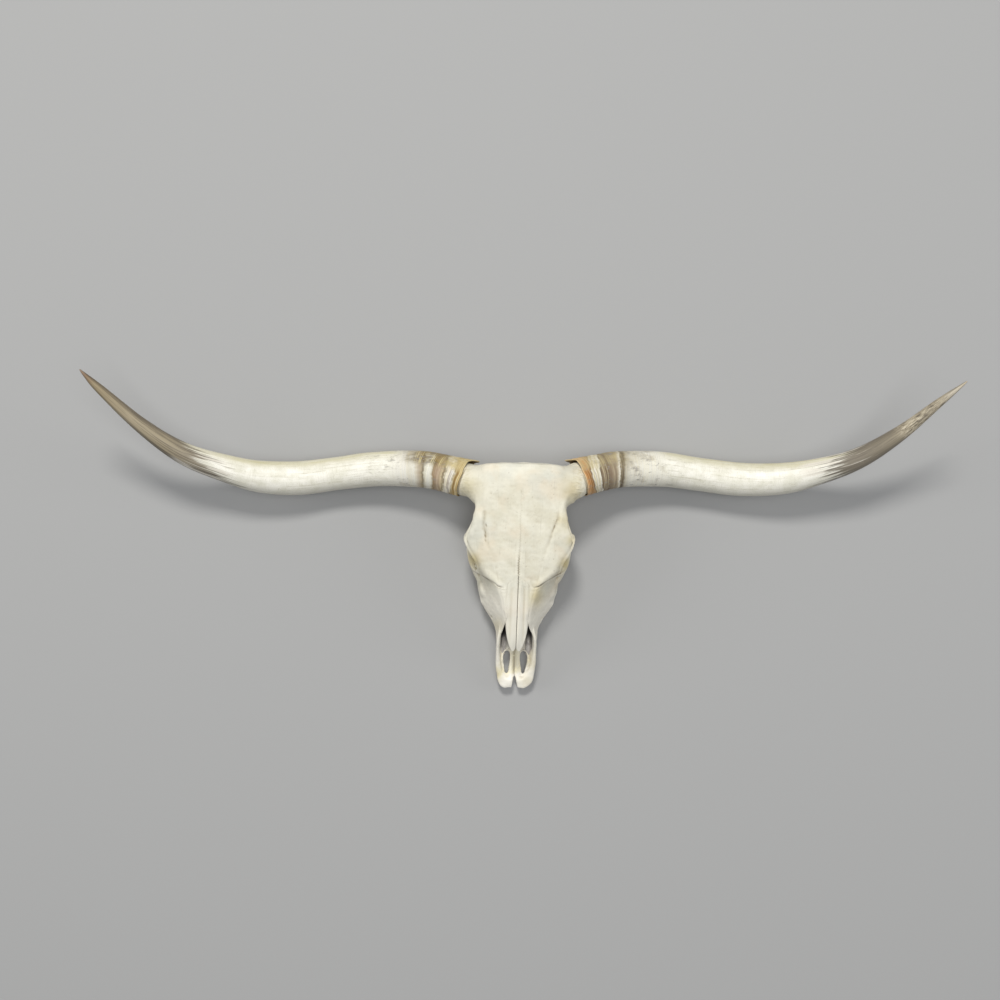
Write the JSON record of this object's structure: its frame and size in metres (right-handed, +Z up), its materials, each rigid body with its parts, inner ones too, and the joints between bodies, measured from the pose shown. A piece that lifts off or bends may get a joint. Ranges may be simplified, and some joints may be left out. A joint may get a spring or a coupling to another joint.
{
  "type": "longhorn steer skull",
  "caption": "Life-size cattle skull without the lower jaw, face up, with long curved horn sheaths seated on bony cores, open eye sockets and a slit snout.",
  "frame": {"origin": "middle of the outline seen from above, on the floor that the skull lies on", "axes": "+X to the animal's left along the horns, +Y towards the poll (back of the head), -Y towards the nose, +Z up out of the forehead"},
  "size_m": [1.8948, 0.7169, 0.2631],
  "materials": {
    "bone": "matt, dry weathered bone, fine pores and cracks",
    "pale_bone": "matt, brighter cream bone",
    "horn": "satin horn, cream with brown base bands and marbled tips"
  },
  "bodies": {
    "root": {"cranium": "bone", "nasal_left": "bone", "nasal_right": "bone", "maxilla_left": "bone", "maxilla_right": "bone", "premaxilla_left": "pale_bone", "premaxilla_right": "pale_bone", "horn_left": "horn", "horn_right": "horn"}
  },
  "joints": []
}
